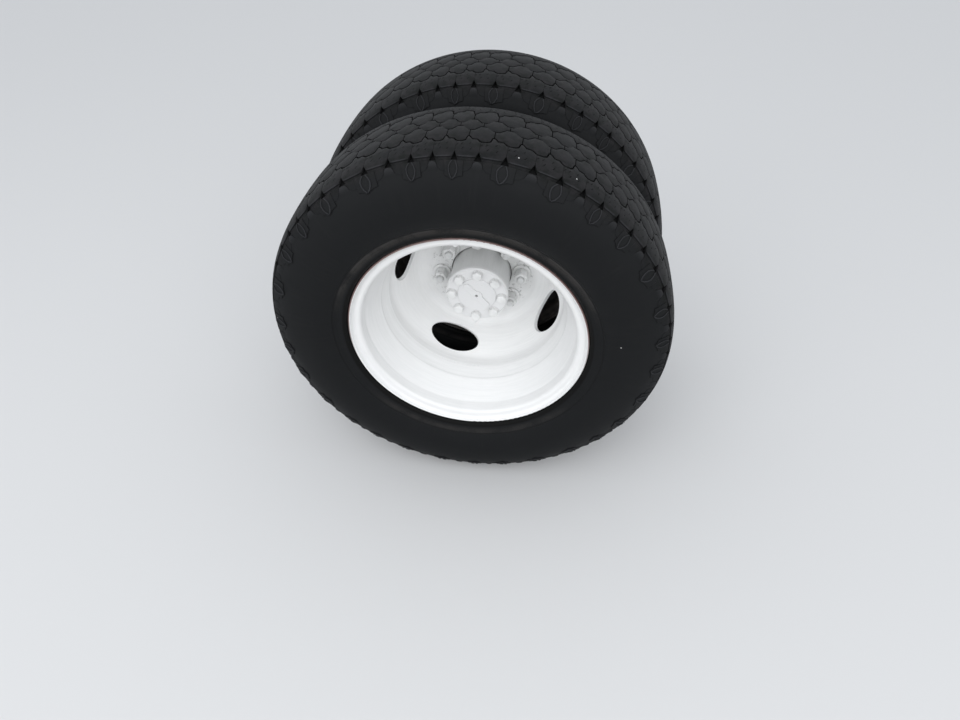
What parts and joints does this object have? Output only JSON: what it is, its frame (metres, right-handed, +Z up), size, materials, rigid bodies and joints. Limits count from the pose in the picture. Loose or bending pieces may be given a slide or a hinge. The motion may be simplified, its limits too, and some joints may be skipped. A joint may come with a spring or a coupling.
{
  "type": "dual rear wheel of a van on its axle end",
  "caption": "Twin rear wheel of a cutaway van: paired tyres on dished steel wheels, the outer one white, nutted to a hub that turns on the end of a driven axle.",
  "frame": {"origin": "centre of the axle tube's inner end, where it is pressed into the middle of the axle", "axes": "+Y along the axle, inboard; -Y outboard, towards the wheels' outer face; +Z up"},
  "size_m": [0.7339, 0.7475, 0.734],
  "materials": {
    "tyre_rubber": "satin, weathered",
    "white_paint": "brushed-on satin gloss",
    "cast_iron": "rough, surface rust",
    "bare_steel": "satin",
    "black_paint": "matte, weathered paint",
    "rubber": "matte"
  },
  "bodies": {
    "axle_end": {"axle_tube": "black_paint", "spindle": "bare_steel", "backing_plate": "black_paint", "spindle_bolts": "bare_steel", "spring_seat": "black_paint", "wheel_cylinder": "cast_iron", "bleed_screw": "bare_steel", "adjuster_plug": "rubber"},
    "wheels": {"outer_tyre": "tyre_rubber", "inner_tyre": "tyre_rubber", "outer_rim": "white_paint", "inner_rim": "black_paint", "outer_disc": "white_paint", "inner_disc": "black_paint", "hub": "cast_iron", "brake_drum": "cast_iron", "wheel_bearings": "bare_steel", "axle_shaft": "bare_steel", "drive_flange_bolts": "white_paint", "wheel_studs": "bare_steel", "nut_washers": "white_paint", "wheel_nuts": "white_paint", "outer_valve_stem": "bare_steel", "inner_valve_stem": "bare_steel"}
  },
  "joints": [
    {"name": "wheel_spin", "type": "hinge", "parent": "axle_end", "child": "wheels", "pos_m": [0, -0.425, 0], "axis": [0, 1, 0], "continuous": true}
  ]
}
